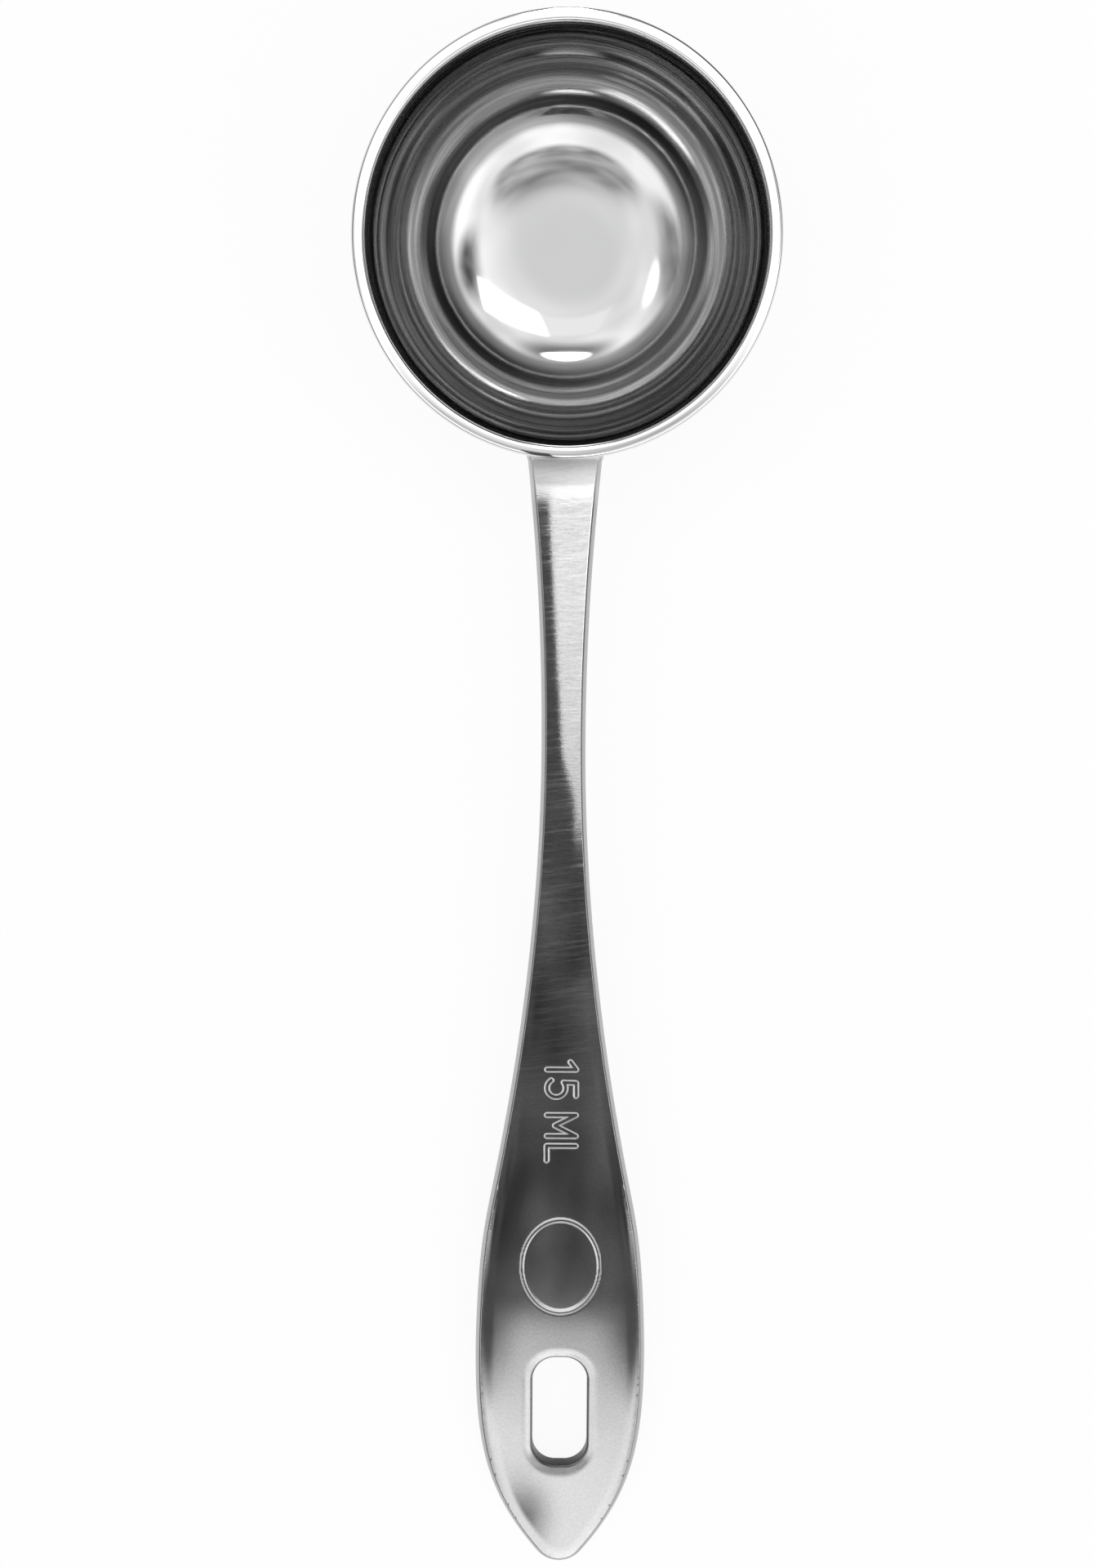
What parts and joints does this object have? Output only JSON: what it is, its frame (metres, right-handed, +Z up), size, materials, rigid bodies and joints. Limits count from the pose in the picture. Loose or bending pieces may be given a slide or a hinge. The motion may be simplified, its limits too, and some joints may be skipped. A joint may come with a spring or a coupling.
{
  "type": "measuring scoop",
  "caption": "Polished steel measuring scoop: round flat-bottomed bowl with a rounded lip, welded to a long flat arched handle with a broad end and a hanging slot.",
  "frame": {"origin": "centre of the bounding box in plan, on the surface that the scoop lies on", "axes": "+Z up, +Y from the handle's tip towards the bowl, +X to the right seen from above with the bowl at the top; the scoop lies as it does on a table, on its bowl's corner and its handle's tip"},
  "size_m": [0.0396, 0.1442, 0.0254],
  "materials": {
    "bowl_steel": "mirror polished with fine turning lines",
    "handle_steel": "polished with fine marks across its length",
    "weld_steel": "ground and polished weld"
  },
  "bodies": {
    "root": {"bowl": "bowl_steel", "handle": "handle_steel", "weld_fillet": "weld_steel"}
  },
  "joints": []
}
